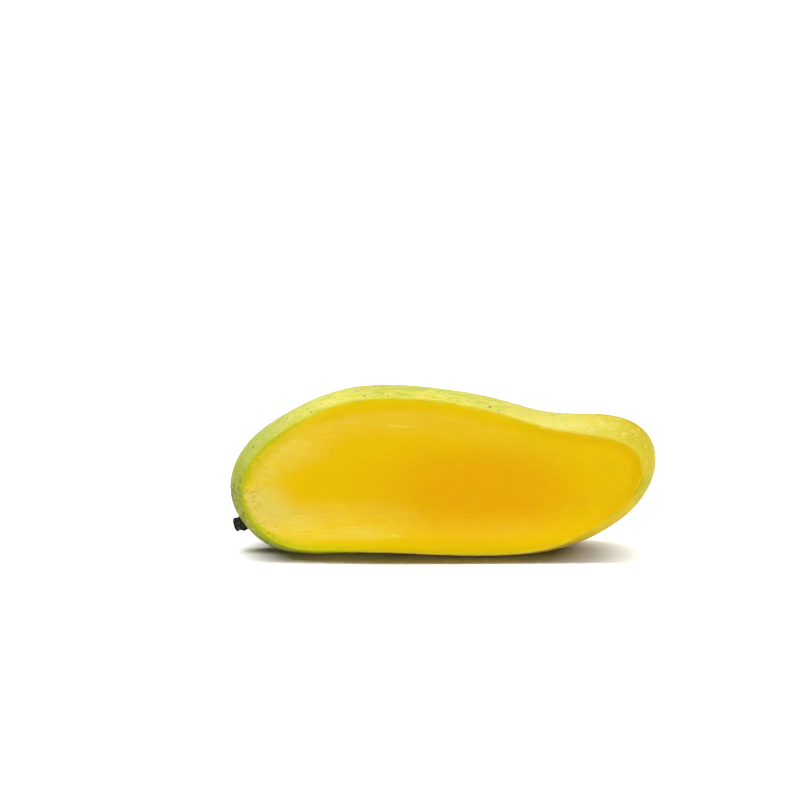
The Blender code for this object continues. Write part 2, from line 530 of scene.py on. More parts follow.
def skin_color(shader, colors):
    """Yellow-green skin, greener at the stem end, mottled and streaked along its length, with painted shade
    low on the stem end and a painted contact shadow along the floor.
    """
    x = shader.axis("X")
    z = shader.axis("Z")
    wander = shader.noise(28, 3, offset=(3, 1, 7))
    along = x.fade(-HALF_LENGTH, HALF_LENGTH) + (wander - 0.5) * 0.24
    base = shader.ramp(along, (
        (0.0, colors.stem_end),
        (0.14, colors.shoulder),
        (0.42, colors.body),
        (0.85, shade(240, 222, 96)),
        (0.92, shade(235, 212, 66)),
        (0.96, shade(226, 200, 40)),
        (1.0, colors.tip),
    ))

    low = z.span(44, 6) * x.span(-60, -5)
    low = low * shader.noise(22, 2, offset=(8, 3, 2)).fade(0.3, 0.62, 0.35, 1)
    base = base.mixed(low * 0.85, colors.blush)

    shifted = x + (wander - 0.5) * (30 * MM)
    # Darker green low on the stem end: partly the skin's own green, partly painted shade on the underside
    stem_end_green_and_shade = z.span(41, 24) * shifted.span(-40, -74) * z.span(18, 10, 0.96, 0.7)
    base = base.mixed(stem_end_green_and_shade, shade(106, 106, 0))
    end = x.span(-73.5, -78.5, 0, 0.4) * z.span(24, 36)
    base = base.mixed(end, shade(178, 180, 10))

    deep = x.span(-40, -28) * x.span(-6, -18, 0, 0.6)
    base = base.mixed(deep, shade(214, 202, 30))

    grain = shader.attribute("grain", "Vector")
    greener = x.span(45, 5, 0.12, 0.9) + x.span(-18, -36, 0, -0.6)
    greener = greener + shifted.span(-50, -72, 0, 0.35)
    patches = shader.noise(330, 8, (0.55, 1, 1), (1, 5, 2), grain, roughness=0.75).fade(0.46, 0.57)
    base = base.mixed(patches * (greener * 0.8), colors.mottle)
    cool = shader.noise(380, 6, (0.8, 1, 1), (4, 8, 1), grain, roughness=0.7)
    cool = cool.fade(0.47, 0.60) * x.span(-40, -66, 0, 0.5) * z.span(30, 40)
    base = base.mixed(cool, shade(176, 196, 92))

    bloom = shader.noise(420, 7, (0.5, 1, 1), (9, 4, 4), grain, roughness=0.7)
    bloom = bloom.fade(0.44, 0.62) * shifted.span(-76, -50, 0.2, 0.5) * x.span(50, 72, 1, 0.2)
    base = base.mixed(bloom, colors.bloom)

    streaks = shader.noise(1000, 4, (0.22, 1, 1), (2, 2, 9), grain).fade(0.52, 0.64)
    streaks = streaks * x.span(65, 10, 0.2, 0.6)
    base = base.mixed(streaks, colors.mottle)
    pale_streaks = shader.noise(900, 4, (0.25, 1, 1), (6, 3, 5), grain)
    pale_streaks = pale_streaks.fade(0.55, 0.68) * z.span(34, 44, 0.2, 0.6)
    base = base.mixed(pale_streaks, shade(250, 238, 140))

    specks = shader.cells(1000, (4, 0, 1)).fade(0.26, 0.12)
    where = shader.noise(160, 2, offset=(0, 6, 6)).fade(0.5, 0.62)
    base = base.mixed(specks * (where * 0.4), colors.dot)

    # Painted contact shadow: the skin darkens within about a millimetre of the floor
    base = base.mixed(z.span(1.1, 0.2) * 0.7, shade(84, 78, 14))

    tip_green = x.span(70, 76) * z.span(34, 29) * z.span(19, 24)
    tip_green = tip_green * patches.fade(0, 1, 0.25, 0.6)
    base = base.mixed(tip_green, shade(178, 184, 40))

    ragged = shader.noise(1000, 5, offset=(5, 9, 0), roughness=0.7)
    ragged = (ragged - 0.46) * (6 * MM)
    reach = (x.span(-75, -68) * x.span(-38, -52)).fade(0, 1, 0.5 * MM, 1.9 * MM)
    torn = (shader.attribute("cut") - ragged).fade(reach, 0) * x.span(-66, -45, 0.3, 0.85)
    return base.mixed(torn, edge_color(shader, colors))


def edge_color(shader, colors):
    """Colour of the peel's cut edge: lemon, olive at the low corner by the stem, golden below, with painted
    light that brightens it near the floor.
    """
    x = shader.axis("X")
    z = shader.axis("Z")
    flecks = shader.noise(600, 4, (0.5, 1, 1), (1, 1, 4), roughness=0.65)
    along = x.fade(-HALF_LENGTH, HALF_LENGTH) + (flecks - 0.5) * 0.05
    color = shader.ramp(along, (
        (0.0, shade(190, 192, 12)),
        (0.02, shade(206, 204, 22)),
        (0.06, shade(214, 207, 34)),
        (0.15, shade(226, 213, 44)),
        (0.30, shade(234, 220, 62)),
        (0.80, shade(240, 220, 72)),
        (1.0, shade(234, 210, 54)),
    ))
    pale = flecks.fade(0.42, 0.62) * x.span(-60, -40, 0, 0.4) * x.span(60, 74, 1, 0.1)
    color = color.mixed(pale, colors.bloom)
    tip = x.span(62, 75)
    golden = z.fade(tip.fade(0, 1, 36 * MM, 42 * MM), tip.fade(0, 1, 22 * MM, 30 * MM)) * x.span(-45, -15)
    greener = z.span(33.5, 31) * z.span(24, 27)
    tip_color = shader.mix(greener, shade(232, 194, 18), shade(212, 182, 4))
    color = color.mixed(golden, shader.mix(tip, colors.flesh_rim, tip_color))
    lime = z.span(20, 6) * x.span(-10, -40)
    color = color.mixed(lime, shade(206, 200, 10))
    # Painted light: the lower wall is brightened near the floor
    painted_low_light = z.span(7, 3) * x.span(-40, -20, 0, 0.85)
    color = color.mixed(painted_low_light, shade(255, 224, 70))
    corner = x.span(-40, -64) * z.span(30, 8)
    return color.mixed(corner * 0.85, shade(152, 168, 8))


def stem_stain(shader, color, reach, stain):
    """Colour that darkens towards the stem."""
    ragged = shader.noise(700, 3) * (1.6 * MM)
    near = (shader.distance_from(stem_placement().translation) - ragged).fade(reach, 2.6 * MM)
    return color.mixed(near, stain)


def skin_material(colors):
    """Waxy skin."""
    shader = Shader("skin")
    color = stem_stain(shader, skin_color(shader, colors), 5.2 * MM, colors.bark)
    dimples = shader.noise(1500, 2, offset=(5, 5, 5))
    ripples = shader.noise(260, 3, (0.5, 1, 1), (6, 1, 3))
    normal = shader.bump(dimples, 0.04 * MM, 0.6, under=shader.bump(ripples, 0.18 * MM, 0.5))
    roughness = shader.noise(120, 3, offset=(7, 7, 1)).fade(0.3, 0.7, 0.38, 0.52)
    x = shader.axis("X")
    wax = x.span(50, 78, 0.7, 0.15) * x.span(-66, -77, 1, 0.3) * shader.axis("Z").span(34, 14, 1, 0.35)
    return shader.finish(color, roughness, Normal=normal, Coat_Weight=wax, Coat_Roughness=0.3, Coat_IOR=1.2,
                         Specular_IOR_Level=0.15, Specular_Tint=(1.0, 0.96, 0.5), Subsurface_Weight=0.12,
                         Subsurface_Radius=(1.0, 0.7, 0.2), Subsurface_Scale=2 * MM)


def peel_edge_material(colors):
    """The peel's wall where the knife went through."""
    shader = Shader("peel_edge")
    flecks = shader.noise(800, 3, (0.4, 1, 1))
    return shader.finish(edge_color(shader, colors), flecks.fade(0.3, 0.7, 0.45, 0.6),
                         Normal=shader.bump(flecks, 0.05 * MM, 0.6), Specular_IOR_Level=0.15,
                         Subsurface_Weight=0.1, Subsurface_Radius=(1.0, 0.7, 0.2), Subsurface_Scale=1 * MM)


def oval(shader, center, reach):
    """1 at a place (x, z) on the cut face, fading to 0 at an oval round it. Both are in millimetres."""
    across, up = [((shader.axis(name) - middle * MM) / (width * MM)) ** 2
                  for name, middle, width in zip("XZ", center, reach)]
    return (across + up).fade(1, 0)


def flesh_material(colors):
    """Moist, finely fibrous flesh, deeper in the middle and paler near the skin, with painted light that
    brightens it towards the floor.
    """
    shader = Shader("flesh")
    rim = shader.attribute("rim")
    grain = shader.attribute("grain", "Vector")
    x = shader.axis("X")
    z = shader.axis("Z")

    soft = shader.noise(40, 3, (0.5, 1, 1), (2, 0, 5))
    heart = oval(shader, (8, 25.5), (57, 27)) * 0.5 + oval(shader, (18, 26.5), (44, 22)) * 0.5
    heart = heart * soft.fade(0.2, 0.6, 0.85, 1.05)
    color = shader.mix(heart, colors.flesh, colors.flesh_heart)

    stripes = shader.noise(1100, 4, (0.09, 0, 1), (0, 0, 3), grain, distortion=0.3, roughness=0.6)
    tufts = shader.noise(300, 5, (0.16, 0, 1), (5, 0, 1), grain, distortion=0.3, roughness=0.6)
    haze = shader.noise(60, 3, (0.4, 0, 1), (1, 0, 8))
    wander = (haze - 0.5) * (6 * MM)
    depth = rim + wander
    wider = z.span(32, 24) * x.span(4, -22, 0, 5.5 * MM)
    belt = depth.span(3, 7) * (depth - wider).span(17, 8) * x.span(46, 18, 0.2, 1)
    belt = belt * haze.fade(0.32, 0.58, 0.35, 1)
    above = z.span(30, 44)
    along_top = above * x.span(-50, 30, 0.3, 0.75)
    along_bottom = (1 - above) * x.span(-40, 6, 0.05, 0.75)
    belt = belt * (1 - (along_top + along_bottom))
    lines = (stripes * 0.35 + tufts * 0.65).fade(0.38, 0.62, x.span(-20, -55, 0.5, 0.15), 1)
    belt = belt * z.span(28, 18, 0.62, 0.46) * z.span(18, 12, 1, 1.5)
    color = color.mixed(belt * lines, colors.flesh_pale)

    tongue = oval(shader, (-52, 28.5), (26, 11)) * (16 * MM)
    end = (x + wander * 1.8 + tongue).span(-40, -70)
    color = color.mixed(end * 0.6, shade(242, 206, 24))
    clumps = shader.noise(170, 5, (0.35, 0, 1), (9, 0, 2), distortion=0.4, roughness=0.65)
    creamy = end * (z + wander).span(30, 25.5) * z.span(9, 16)
    end = end * clumps.fade(0.40, 0.60, 0.45, 1)
    color = color.mixed(end * 0.85, colors.flesh_pale)
    color = color.mixed(creamy * 0.6, shade(230, 210, 106))

    strokes = shader.noise(640, 3, (0.13, 0, 1), (7, 0, 2), grain, distortion=0.5)
    patchy = shader.noise(70, 2, (0.6, 0, 1), (4, 0, 4)).fade(0.42, 0.60, 0.2, 1)
    strokes = strokes.fade(0.58, 0.70) * belt.fade(0.02, 0.25, 0.12, 0.75)
    color = color.mixed(strokes * patchy, shade(248, 222, 78))
    furrows = shader.noise(560, 3, (0.11, 0, 1), (2, 0, 9), grain, distortion=0.5)
    furrows = furrows.fade(0.60, 0.72) * belt.fade(0.02, 0.25, 0.1, 0.5)
    color = color.mixed(furrows * patchy, shade(222, 178, 2))

    under_skin = rim.span(5, 2) * x.span(-62, -40)
    right_rim = shader.mix(z.span(34, 18), shade(230, 182, 2), shade(244, 191, 4))
    rim_color = shader.mix(x.span(10, 50, 0, 0.7), colors.flesh_rim, right_rim)
    color = color.mixed(under_skin * 0.8, rim_color)
    fresh = rim.span(5.5, 2) * x.span(-50, -66) * (z + wander).span(24, 31)
    color = color.mixed(fresh * 0.75, shade(222, 196, 8))

    flecks = shader.noise(300, 4, (0.6, 0, 1), (3, 0, 3), roughness=0.5)
    ragged = (flecks - 0.5) * (3.0 * MM)
    edge = rim + ragged
    high = z.span(20, 34)
    lemon = edge.fade(x.span(60, -40, 0.6 * MM, 1.8 * MM), 0) * high.fade(0, 1, 0.35, 0.9)
    lemon_color = shader.mix(x.span(-30, 20), colors.lemon, shade(240, 212, 44))
    color = color.mixed(lemon, lemon_color)
    cream = (rim + ragged * 1.4).span(0.5, -0.5) * (high * x.span(-60, -30, 0, 0.7))
    cream = cream * x.span(0, 30, 1, 0.35)
    color = color.mixed(cream, shade(240, 224, 92))

    green_reach = x.span(-36, -72, 0.5 * MM, 1.9 * MM)
    green_reach = green_reach + z.span(22, 6) * x.span(-40, -56, 0, 3.2 * MM)
    green = edge.fade(green_reach, 0) * x.span(-44, -70)
    low_glow = z.span(16, 4) * x.span(-18, -52) * edge.span(5, 0.5)
    color = color.mixed(low_glow * 0.7, shade(212, 208, 12))
    color = color.mixed(green * 0.9, colors.unripe)
    spots = shader.cells(760, (3, 0, 5)).fade(0.30, 0.16)
    spots = spots * (rim.span(2.2, 0.8) * x.span(-56, -68))
    color = color.mixed(spots * 0.6, shade(140, 156, 10))

    pits = shader.attribute("pore")
    color = color.mixed(pits * 0.28, shade(212, 186, 4))
    grit = shader.cells(800, (2, 0, 7)).fade(0.34, 0.16) * (end * rim.span(9, 4))
    color = color.mixed(grit * 0.5, shade(250, 230, 76))

    # Painted light: the flesh is brightened towards the floor, by up to a quarter at the bottom
    color = color.mixed(1, shader.gray(z.span(22, 1, 1, 1.25)), blend="MULTIPLY")
    fine = shader.noise(1500, 3, (0.1, 0, 1), (0, 0, 6), grain)
    color = color.mixed(0.05, shader.gray(fine.fade(0.3, 0.7)), blend="SOFT_LIGHT")
    normal = shader.bump(fine, 0.03 * MM, 0.4, under=shader.bump(stripes, 0.05 * MM, 0.4))
    return shader.finish(color, tufts.fade(0.3, 0.7, 0.42, 0.58), Normal=normal, Specular_IOR_Level=0.2,
                         Specular_Tint=(1.0, 0.72, 0.1), Subsurface_Weight=0.25,
                         Subsurface_Radius=(1.0, 0.55, 0.1), Subsurface_Scale=3 * MM)


def dot_material(name, color, variation):
    """A dot of the skin, varied from dot to dot."""
    shader = Shader(name)
    vary = shader.noise(500)
    mixed = shader.mix(vary.fade(0.3, 0.7), color, variation)
    return shader.finish(mixed, vary.fade(0.3, 0.7, 0.5, 0.65), Specular_IOR_Level=0.1)


def bark_material(colors):
    """Dark, dry bark with worn ridges."""
    shader = Shader("bark")
    grain = shader.noise(1500, 4, (0.35, 1, 1), roughness=0.6)
    darkest = shader.mix(0.5, colors.bark, (0.01, 0.008, 0.005))
    color = shader.mix(grain.fade(0.35, 0.7), darkest, colors.bark)
    color = color.mixed(shader.attribute("worn") * grain.fade(0.3, 0.6), colors.bark_light)
    return shader.finish(color, grain.fade(0.3, 0.7, 0.65, 0.9), Normal=shader.bump(grain, 0.1 * MM, 0.8),
                         Specular_IOR_Level=0.2)


def floor_material(colors):
    """Smooth pale board with the faintest unevenness."""
    shader = Shader("floor")
    grain = shader.noise(9, 3)
    color = shader.mix(grain.fade(0.3, 0.7, 0, 0.3), colors.floor, shade(201, 201, 200))
    return shader.finish(color, 0.9, Specular_IOR_Level=0.1)


# Pieces

def stem_placement():
    """Where the stem leaves the skin, with its own +Z along the stem."""
    outward = np.array((-math.cos(STEM_DROOP) * math.cos(STEM_TURN),
                        math.cos(STEM_DROOP) * math.sin(STEM_TURN),
                        -math.sin(STEM_DROOP)))
    turn = Vector(leaned(outward)).to_track_quat("Z", "Y").to_matrix().to_4x4()
    return Matrix.Translation(Vector(leaned(stem_foot()) + PLACE)) @ turn


def stem_foot():
    """Where the stem's middle line leaves the skin, before the fruit is leaned and placed."""
    return fruit_points(np.array([STEM_STATION]), np.array([-math.pi / 2]), 0)[0]


def skin_relief(points, sizes):
    """How far the skin dips below its smooth shape: broad waves, and a hollow round the stem."""
    waves = noise_at(points, (34 * MM, 20 * MM, 20 * MM), 3.7)
    ripples = noise_at(points, (11 * MM, 6 * MM, 6 * MM), 8.1)
    dip = sizes.skin_waves * (0.5 + 0.45 * waves + 0.12 * ripples)
    apart = np.linalg.norm(points - stem_foot(), axis=-1)
    return np.clip(dip, 0, None) + HOLLOW_DEPTH * np.exp(-(apart / HOLLOW_RADIUS)**2)


def build_peel(sizes, colors):
    """The peel: a thin wall with its outer skin, its inner side and the two strips of its cut edge."""
    outer = kept_surface(sizes.peel_inset, SKIN_ROWS)
    dip = skin_relief(outer, sizes)
    normal = grid_normals(outer)
    outward = np.sign(np.sum(normal * outer, axis=-1, keepdims=True).mean())
    outer = outer - outward * normal * dip[..., None]
    inner_inset = sizes.peel_inset + sizes.peel_thickness
    inner = kept_surface(inner_inset, WALL_ROWS)
    from_ends = np.sin(math.pi * np.linspace(0, 1, CUT_COLUMNS + 1))
    for row in (0, -1):
        outer[OPENED, row, 1] = -CUT_FROM_MIDDLE
        tears = noise_at(outer[OPENED, row], (2.6 * MM, 1, 1.8 * MM), 2.2, 3)
        share = sizes.torn_edge * np.clip(0.35 + 0.9 * tears, 0, 1) * from_ends
        outer[OPENED, row] += (inner[OPENED, row] - outer[OPENED, row]) * share[:, None]
    ends = np.r_[0:END_COLUMNS + 1, END_COLUMNS + CUT_COLUMNS:len(outer)]
    seam = (outer[ends, 0] + outer[ends, -1]) / 2
    outer[ends, 0] = seam
    outer[ends, -1] = seam
    outer[0] = outer[0].mean(axis=0)
    outer[-1] = outer[-1].mean(axis=0)

    columns = len(outer)
    outer_placed = set_down(outer, 0)
    inner_placed = set_down(inner, inner_inset)
    points = np.concatenate((outer_placed.reshape(-1, 3), inner_placed.reshape(-1, 3)))
    skin_faces = grid_faces(columns, SKIN_ROWS + 1, 0)
    inner_start = columns * (SKIN_ROWS + 1)
    wall_faces = grid_faces(columns, WALL_ROWS + 1, inner_start)[:, ::-1]
    edges = []
    column = np.arange(END_COLUMNS, END_COLUMNS + CUT_COLUMNS)
    for outer_row, inner_row in ((0, 0), (SKIN_ROWS, WALL_ROWS)):
        a = column * (SKIN_ROWS + 1) + outer_row
        b = a + SKIN_ROWS + 1
        d = inner_start + column * (WALL_ROWS + 1) + inner_row
        c = d + WALL_ROWS + 1
        edges.append(np.stack((a, b, c, d), axis=-1))
    faces = np.concatenate((skin_faces, wall_faces, *edges)).tolist()
    face_materials = np.zeros(len(faces), np.int32)
    face_materials[len(skin_faces):] = 1

    depth = outer[..., 1] + CUT_FROM_MIDDLE
    room = smooth_step(depth, 0.4 * MM, 0.9 * MM) * smooth_step(outer_placed[..., 2], 0.3 * MM, 0.8 * MM)
    room = room * (1 - 0.55 * smooth_step(depth, 2 * MM, 9 * MM))
    inside = np.zeros(len(points) - inner_start)
    layers = {
        "dot_room": np.append(room.reshape(-1), inside),
        "cut": np.append(depth.reshape(-1), inside),
        "grain": np.concatenate((skin_grain(outer).reshape(-1, 3), skin_grain(inner).reshape(-1, 3))),
    }
    peel = make_piece("peel", points, faces, (skin_material(colors), peel_edge_material(colors)),
                      layers, face_materials)
    attach(peel, "fruit")


def rim_distances(points, outline):
    """Distance of each point to the nearest point of an outline."""
    tree = kdtree.KDTree(len(outline))
    for i, point in enumerate(outline):
        tree.insert(point, i)
    tree.balance()
    return np.array([tree.find(point)[2] for point in points])


def face_relief(points, rim, sizes):
    """How deep each point of the cut face lies: knife waves, fibres and a rounded rim."""
    waves = noise_at(points, (38 * MM, 1, 16 * MM), 5.3)
    fibers = noise_at(points, (9 * MM, 1, 0.9 * MM), 2.9)
    tufts = noise_at(points, (4 * MM, 1, 1.6 * MM), 7.4)
    belt = smooth_step(rim, 2 * MM, 6 * MM) * (1 - smooth_step(rim, 12 * MM, 24 * MM))
    depth = sizes.cut_waves * (0.5 + 0.5 * waves)
    depth += sizes.fiber_depth * (0.5 + 0.5 * fibers) * (0.5 + 0.8 * belt)
    depth += sizes.fiber_depth * (0.5 + 0.5 * tufts) * belt
    return depth * smooth_step(rim, 0, 2 * MM)


def pore_field(points, rim):
    """1 in the pores of the flesh near the stem end, 0 elsewhere."""
    near_end = smooth_step(-points[:, 0], 55 * MM, 70 * MM)
    belt = near_end * (1 - smooth_step(rim, 5 * MM, 10 * MM)) * smooth_step(rim, 1.2 * MM, 2.2 * MM)
    spots = noise_at(points, (1.1 * MM, 1, 0.9 * MM), 4.4)
    return belt * smooth_step(spots, 0.28, 0.5)


def build_flesh(sizes, colors):
    """The flesh: a closed body whose front is the cut face."""
    inset = sizes.peel_inset + sizes.peel_thickness + sizes.flesh_gap
    back = set_down(kept_surface(inset, WALL_ROWS), inset)
    top = back[OPENED, 0]
    bottom = back[OPENED, -1]
    share = np.linspace(0, 1, FACE_ROWS + 1)[None, :, None]
    face = bottom[:, None] * (1 - share) + top[:, None] * share

    flat = face.reshape(-1, 3)
    rim = rim_distances(flat, np.concatenate((top, bottom)))
    pores = pore_field(flat, rim)
    depth = face_relief(flat, rim, sizes) + sizes.pore_depth * pores
    on_edge = np.zeros(face.shape[:2], bool)
    on_edge[:, 0] = on_edge[:, -1] = on_edge[0] = on_edge[-1] = True
    depth[on_edge.reshape(-1)] = 0
    flat = flat + depth[:, None] * leaned(np.array((0, 1, 0)))

    behind = back.reshape(-1, 3)
    points = np.concatenate((behind, flat))
    back_faces = grid_faces(len(back), WALL_ROWS + 1, 0)
    front_faces = grid_faces(CUT_COLUMNS + 1, FACE_ROWS + 1, len(behind))
    faces = np.concatenate((back_faces, front_faces)).tolist()
    upright = behind[:, 2] - cad_high.z / 2
    level = (np.broadcast_to(share[..., 0], face.shape[:2]).reshape(-1) - 0.5) * FACE_GRAIN
    level = 0.5 * level + 0.5 * (flat[:, 2] - cad_high.z / 2)
    layers = {
        "grain": np.column_stack((points[:, 0], np.zeros(len(points)), np.append(upright, level))),
        "rim": np.append(np.zeros(len(behind)), rim),
        "pore": np.append(np.zeros(len(behind)), pores),
    }
    flesh = make_piece("flesh", points, faces, (flesh_material(colors),), layers)
    attach(flesh, "fruit")


def dots_tree(name):
    """Scatters low round dots over a surface, by a seed, where the surface has room for them."""
    tree = bpy.data.node_groups.new(name, "GeometryNodeTree")
    tree.is_modifier = True
    for label, kind, default in (
            ("Surface", "Geometry", None),
            ("Spacing", "Float", 2 * MM),
            ("Density", "Float", 40000),
            ("Radius", "Float", 0.4 * MM),
            ("Height", "Float", 0.05 * MM),
            ("Unevenness", "Float", 0.2 * MM),
            ("Patch size", "Float", 60),
            ("Seed", "Int", 1),
            ("Material", "Material", None)):
        socket = tree.interface.new_socket(label, in_out="INPUT", socket_type="NodeSocket" + kind)
        if default is not None:
            socket.default_value = default
    tree.interface.new_socket("Dots", in_out="OUTPUT", socket_type="NodeSocketGeometry")

    nodes = Nodes(tree)
    given = tree.nodes.new("NodeGroupInput").outputs
    room = nodes.value("GeometryNodeInputNamedAttribute", "Attribute", {"Name": "dot_room"},
                       data_type="FLOAT")
    patches = nodes.value("ShaderNodeTexNoise", "Fac", {"Scale": given["Patch size"], "Detail": 2})
    crowd = nodes.value("ShaderNodeMapRange", 0, {"Value": patches, "From Min": 0.38, "From Max": 0.66})
    scatter = nodes.node("GeometryNodeDistributePointsOnFaces", {
        "Mesh": given["Surface"], "Distance Min": given["Spacing"], "Density Max": given["Density"],
        "Density Factor": room * crowd, "Seed": given["Seed"]}, distribute_method="POISSON").outputs

    ball = nodes.value("GeometryNodeMeshUVSphere", "Mesh", {"Radius": 1, "Segments": 10, "Rings": 4})
    size = nodes.value("ShaderNodeCombineXYZ", 0, {
        "X": given["Radius"], "Y": given["Radius"], "Z": given["Height"]})
    shape = nodes.value("GeometryNodeTransform", 0, {"Geometry": ball, "Scale": size})
    chance = nodes.value("FunctionNodeRandomValue", 1, {"Seed": given["Seed"]})
    spread = nodes.value("ShaderNodeMapRange", 0, {"Value": chance ** 2.5, "To Min": 0.35, "To Max": 1.0})
    narrow = nodes.value("FunctionNodeRandomValue", "Value", {
        "Min": (0.8, 0.6, 1.0), "Max": (1.2, 1.0, 1.0), "Seed": given["Seed"]}, data_type="FLOAT_VECTOR")
    scale = nodes.value("ShaderNodeVectorMath", 0, {0: narrow, "Scale": spread}, operation="SCALE")

    dots = nodes.value("GeometryNodeInstanceOnPoints", 0, {
        "Points": scatter["Points"], "Rotation": scatter["Rotation"], "Instance": shape, "Scale": scale})
    real = nodes.value("GeometryNodeRealizeInstances", 0, {"Geometry": dots})
    bumps = nodes.value("ShaderNodeTexNoise", "Color", {"Scale": 1800})
    away = nodes.value("ShaderNodeVectorMath", 0, {0: bumps, 1: (0.5, 0.5, 0.5)}, operation="SUBTRACT")
    push = {0: away, "Scale": given["Unevenness"]}
    push = nodes.value("ShaderNodeVectorMath", 0, push, operation="SCALE")
    uneven = nodes.value("GeometryNodeSetPosition", 0, {"Geometry": real, "Offset": push})
    painted = nodes.value("GeometryNodeSetMaterial", 0, {"Geometry": uneven, "Material": given["Material"]})
    nodes.join(tree.nodes.new("NodeGroupOutput").inputs["Dots"], painted)
    return tree


def scatter_dots(name, peel, tree, material, values):
    """A plain mesh of the dots that a tree scatters over the peel."""
    piece = bpy.data.objects.new(name, peel.data.copy())
    bpy.context.scene.collection.objects.link(piece)
    modifier = piece.modifiers.new("dots", "NODES")
    modifier.node_group = tree
    sockets = {item.name: item.identifier for item in tree.interface.items_tree if item.in_out == "INPUT"}
    for label, value in values.items():
        modifier[sockets[label]] = value
    modifier[sockets["Material"]] = material
    evaluated = piece.evaluated_get(bpy.context.evaluated_depsgraph_get())
    dots = bpy.data.meshes.new_from_object(evaluated)
    piece.modifiers.remove(modifier)
    covered = piece.data
    piece.data = dots
    bpy.data.meshes.remove(covered)
    dots.name = name
    dots.shade_smooth()
    attach(piece, "fruit")


def build_dots(sizes, colors):
    """Dark and pale dots scattered over the skin."""
    peel = bpy.data.objects["peel"]
    tree = dots_tree("skin_dots")
    dark = dot_material("dark_dot", colors.dot, shade(176, 168, 68))
    pale = dot_material("pale_dot", colors.pale_dot, colors.bloom)
    scatter_dots("dark_dots", peel, tree, dark, {
        "Spacing": 1.8 * MM, "Density": 120000.0, "Radius": sizes.dot_radius, "Height": sizes.dot_height,
        "Unevenness": 0.12 * MM, "Patch size": 45.0, "Seed": 11})
    scatter_dots("pale_dots", peel, tree, pale, {
        "Spacing": 1.9 * MM, "Density": 90000.0, "Radius": sizes.pale_dot_radius,
        "Height": sizes.dot_height, "Unevenness": 0.06 * MM, "Patch size": 70.0, "Seed": 4})


def build_stem(colors):
    """The stem: its outline turned, with bark furrows, lumps and an uneven dished end."""
    radii, heights = zip(*STEM_OUTLINE)
    rows = STEM_ROWS_PER_STEP * (len(STEM_OUTLINE) - 1)
    places = np.linspace(-1, 1, rows + 1)
    radius = np.clip(smooth_values(radii, places), 0, None)
    height = smooth_values(heights, places)
    turn = np.linspace(0, math.tau, STEM_COLUMNS + 1)[:, None]
    smooth = np.stack(np.broadcast_arrays(radius * np.cos(turn), radius * np.sin(turn), height), axis=-1)
    furrows = noise_at(smooth, (0.55 * MM, 0.55 * MM, 2.6 * MM), 1.3)
    lumps = noise_at(smooth, (1.6 * MM, 1.6 * MM, 1.2 * MM), 6.2)
    shrink = 1 - radius / max(radii) * (0.05 + 0.055 * (0.5 + 0.5 * lumps) + 0.06 * np.abs(furrows))
    stem = smooth.copy()
    stem[..., :2] *= shrink[..., None]
    on_end = np.clip(1 - np.arange(rows + 1) / (2.2 * STEM_ROWS_PER_STEP), 0, 1)
    stem[..., 2] += on_end * 0.25 * MM * (noise_at(smooth, (0.9 * MM,) * 3, 9.1) - 0.6)
    worn = smooth_step(-np.abs(furrows), -0.10, 0.0) * 0.55 + 0.45 * smooth_step(lumps, 0.15, 0.5)

    placement = np.array(stem_placement())
    placed = stem @ placement[:3, :3].T + placement[:3, 3]
    points = np.concatenate((placed.reshape(-1, 3), placed[:, -1].mean(axis=0)[None]))
    faces = grid_faces(len(turn), rows + 1, 0).tolist()
    for last in range(rows, len(points) - rows - 2, rows + 1):
        faces.append([last, len(points) - 1, last + rows + 1])
    layers = {"worn": np.append(worn.reshape(-1), 0)}
    piece = make_piece("stem_stub", points, faces, (bark_material(colors),), layers, sharp_angle=60)
    attach(piece, "stem")


# Stage

def build_floor(stage, colors):
    bm = bmesh.new()
    bmesh.ops.create_grid(bm, x_segments=8, y_segments=8, size=stage.floor_size / 2)
    mesh = bpy.data.meshes.new("floor")
    bm.to_mesh(mesh)
    bm.free()
    mesh.materials.append(floor_material(colors))
    floor = bpy.data.objects.new("floor", mesh)
    bpy.context.scene.collection.objects.link(floor)


def build_camera(stage):
    """A camera that puts the fruit's middle on its pixel in the photo, at the photo's scale."""
    data = bpy.data.cameras.new("camera")
    camera = bpy.data.objects.new("camera", data)
    bpy.context.scene.collection.objects.link(camera)
    focal_pixels = PIXELS_PER_METRE * stage.distance
    data.sensor_width = SENSOR_WIDTH
    data.lens = focal_pixels * SENSOR_WIDTH / IMAGE_SIZE
    data.clip_start = 0.01
    data.clip_end = 50
    forward = Vector((0, math.cos(stage.elevation), -math.sin(stage.elevation)))
    up = Vector((0, math.sin(stage.elevation), math.cos(stage.elevation)))
    right = forward.cross(up)
    across = FRUIT_MIDDLE_PIXEL[0] - IMAGE_SIZE / 2
    below = FRUIT_MIDDLE_PIXEL[1] - IMAGE_SIZE / 2
    ray = (forward * focal_pixels + right * across - up * below).normalized()
    camera.location = Vector(PLACE) - ray * stage.distance
    camera.rotation_euler = forward.to_track_quat("-Z", "Y").to_euler()
    bpy.context.scene.camera = camera


def build_world(stage):
    """Even white light from all round."""
    world = bpy.data.worlds.new("studio")
    bpy.context.scene.world = world
    world.use_nodes = True
    background = world.node_tree.nodes["Background"]
    background.inputs["Color"].default_value = (1, 1, 1, 1)
    background.inputs["Strength"].default_value = stage.sky


def place_light(data, location, travel, receivers, bounces):
    """A light that shines in a direction, and only on the receivers where they are given."""
    if bounces is not None:
        data.cycles.max_bounces = bounces
    light = bpy.data.objects.new(data.name, data)
    light.location = location
    light.rotation_euler = Vector(travel).to_track_quat("-Z", "Y").to_euler()
    bpy.context.scene.collection.objects.link(light)
    if receivers:
        lit = bpy.data.collections.new(data.name + "_receivers")
        for piece in receivers:
            lit.objects.link(piece)
        light.light_linking.receiver_collection = lit


